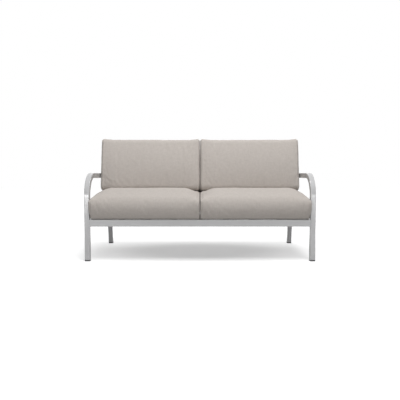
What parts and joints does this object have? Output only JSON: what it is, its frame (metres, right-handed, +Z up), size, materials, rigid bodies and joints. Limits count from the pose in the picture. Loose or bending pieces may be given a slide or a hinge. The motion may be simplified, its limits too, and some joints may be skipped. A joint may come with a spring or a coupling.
{
  "type": "patio loveseat",
  "caption": "Outdoor loveseat: bent square-tube side frames that form legs and arms, a slatted seat and reclined back frame, and loose zipped box cushions on the seat and back.",
  "frame": {"origin": "floor point under the middle of the seat, centred in width and depth", "axes": "+X to the sitter's left, which is the viewer's right; the front faces -Y; +Z up"},
  "size_m": [1.522, 0.9095, 0.8331],
  "materials": {
    "powder_coated_frame": "fine satin light grey powder coat",
    "foot_plastic": "moulded dark grey plastic",
    "cap_plastic": "moulded light grey plastic",
    "plug_plastic": "moulded black plastic",
    "fastener_steel": "plain stainless steel",
    "cushion_fabric": "greige woven outdoor fabric, plain weave with a faint slub",
    "seat_foam": "open cell foam",
    "fibre_fill": "polyester fibre",
    "zip_nylon": "nylon coil zip and tape"
  },
  "bodies": {
    "frame": {"side_frame_left": "powder_coated_frame", "side_frame_right": "powder_coated_frame", "foot_front_left": "foot_plastic", "foot_front_right": "foot_plastic", "foot_rear_left": "foot_plastic", "foot_rear_right": "foot_plastic", "seat_rail_front": "powder_coated_frame", "seat_rail_rear": "powder_coated_frame", "seat_rail_left": "powder_coated_frame", "seat_rail_right": "powder_coated_frame", "seat_slat_left_1": "powder_coated_frame", "seat_slat_left_2": "powder_coated_frame", "seat_slat_left_3": "powder_coated_frame", "seat_slat_right_1": "powder_coated_frame", "seat_slat_right_2": "powder_coated_frame", "seat_slat_right_3": "powder_coated_frame", "seat_centre_bar": "powder_coated_frame", "side_rail_end_caps": "cap_plastic", "back_upright_left": "powder_coated_frame", "back_upright_right": "powder_coated_frame", "back_rail_top": "powder_coated_frame", "back_rail_bottom": "powder_coated_frame", "back_slat_1": "powder_coated_frame", "back_slat_2": "powder_coated_frame", "back_slat_3": "powder_coated_frame", "back_slat_4": "powder_coated_frame", "back_slat_5": "powder_coated_frame", "leg_screws": "fastener_steel", "back_foot_screws": "fastener_steel", "screw_washers": "fastener_steel", "leg_hole_plugs": "cap_plastic", "rivet_nuts": "fastener_steel", "front_rail_plugs": "plug_plastic", "back_foot_plugs": "plug_plastic"},
    "seat_cushion_left": {"seat_cover_left": "cushion_fabric", "seat_foam_left": "seat_foam", "seat_zip_left": "zip_nylon"},
    "back_cushion_left": {"back_cover_left": "cushion_fabric", "back_fibre_fill_left": "fibre_fill", "back_zip_left": "zip_nylon"},
    "seat_cushion_right": {"seat_cover_right": "cushion_fabric", "seat_foam_right": "seat_foam", "seat_zip_right": "zip_nylon"},
    "back_cushion_right": {"back_cover_right": "cushion_fabric", "back_fibre_fill_right": "fibre_fill", "back_zip_right": "zip_nylon"}
  },
  "joints": [
    {"name": "seat_cushion_left_lift", "type": "slide", "parent": "frame", "child": "seat_cushion_left", "axis": [0, 0, 1], "range_m": [0, 0.5]},
    {"name": "back_cushion_left_lift", "type": "slide", "parent": "seat_cushion_left", "child": "back_cushion_left", "axis": [0, 0, 1], "range_m": [0, 0.4]},
    {"name": "seat_cushion_right_lift", "type": "slide", "parent": "frame", "child": "seat_cushion_right", "axis": [0, 0, 1], "range_m": [0, 0.5]},
    {"name": "back_cushion_right_lift", "type": "slide", "parent": "seat_cushion_right", "child": "back_cushion_right", "axis": [0, 0, 1], "range_m": [0, 0.4]}
  ]
}
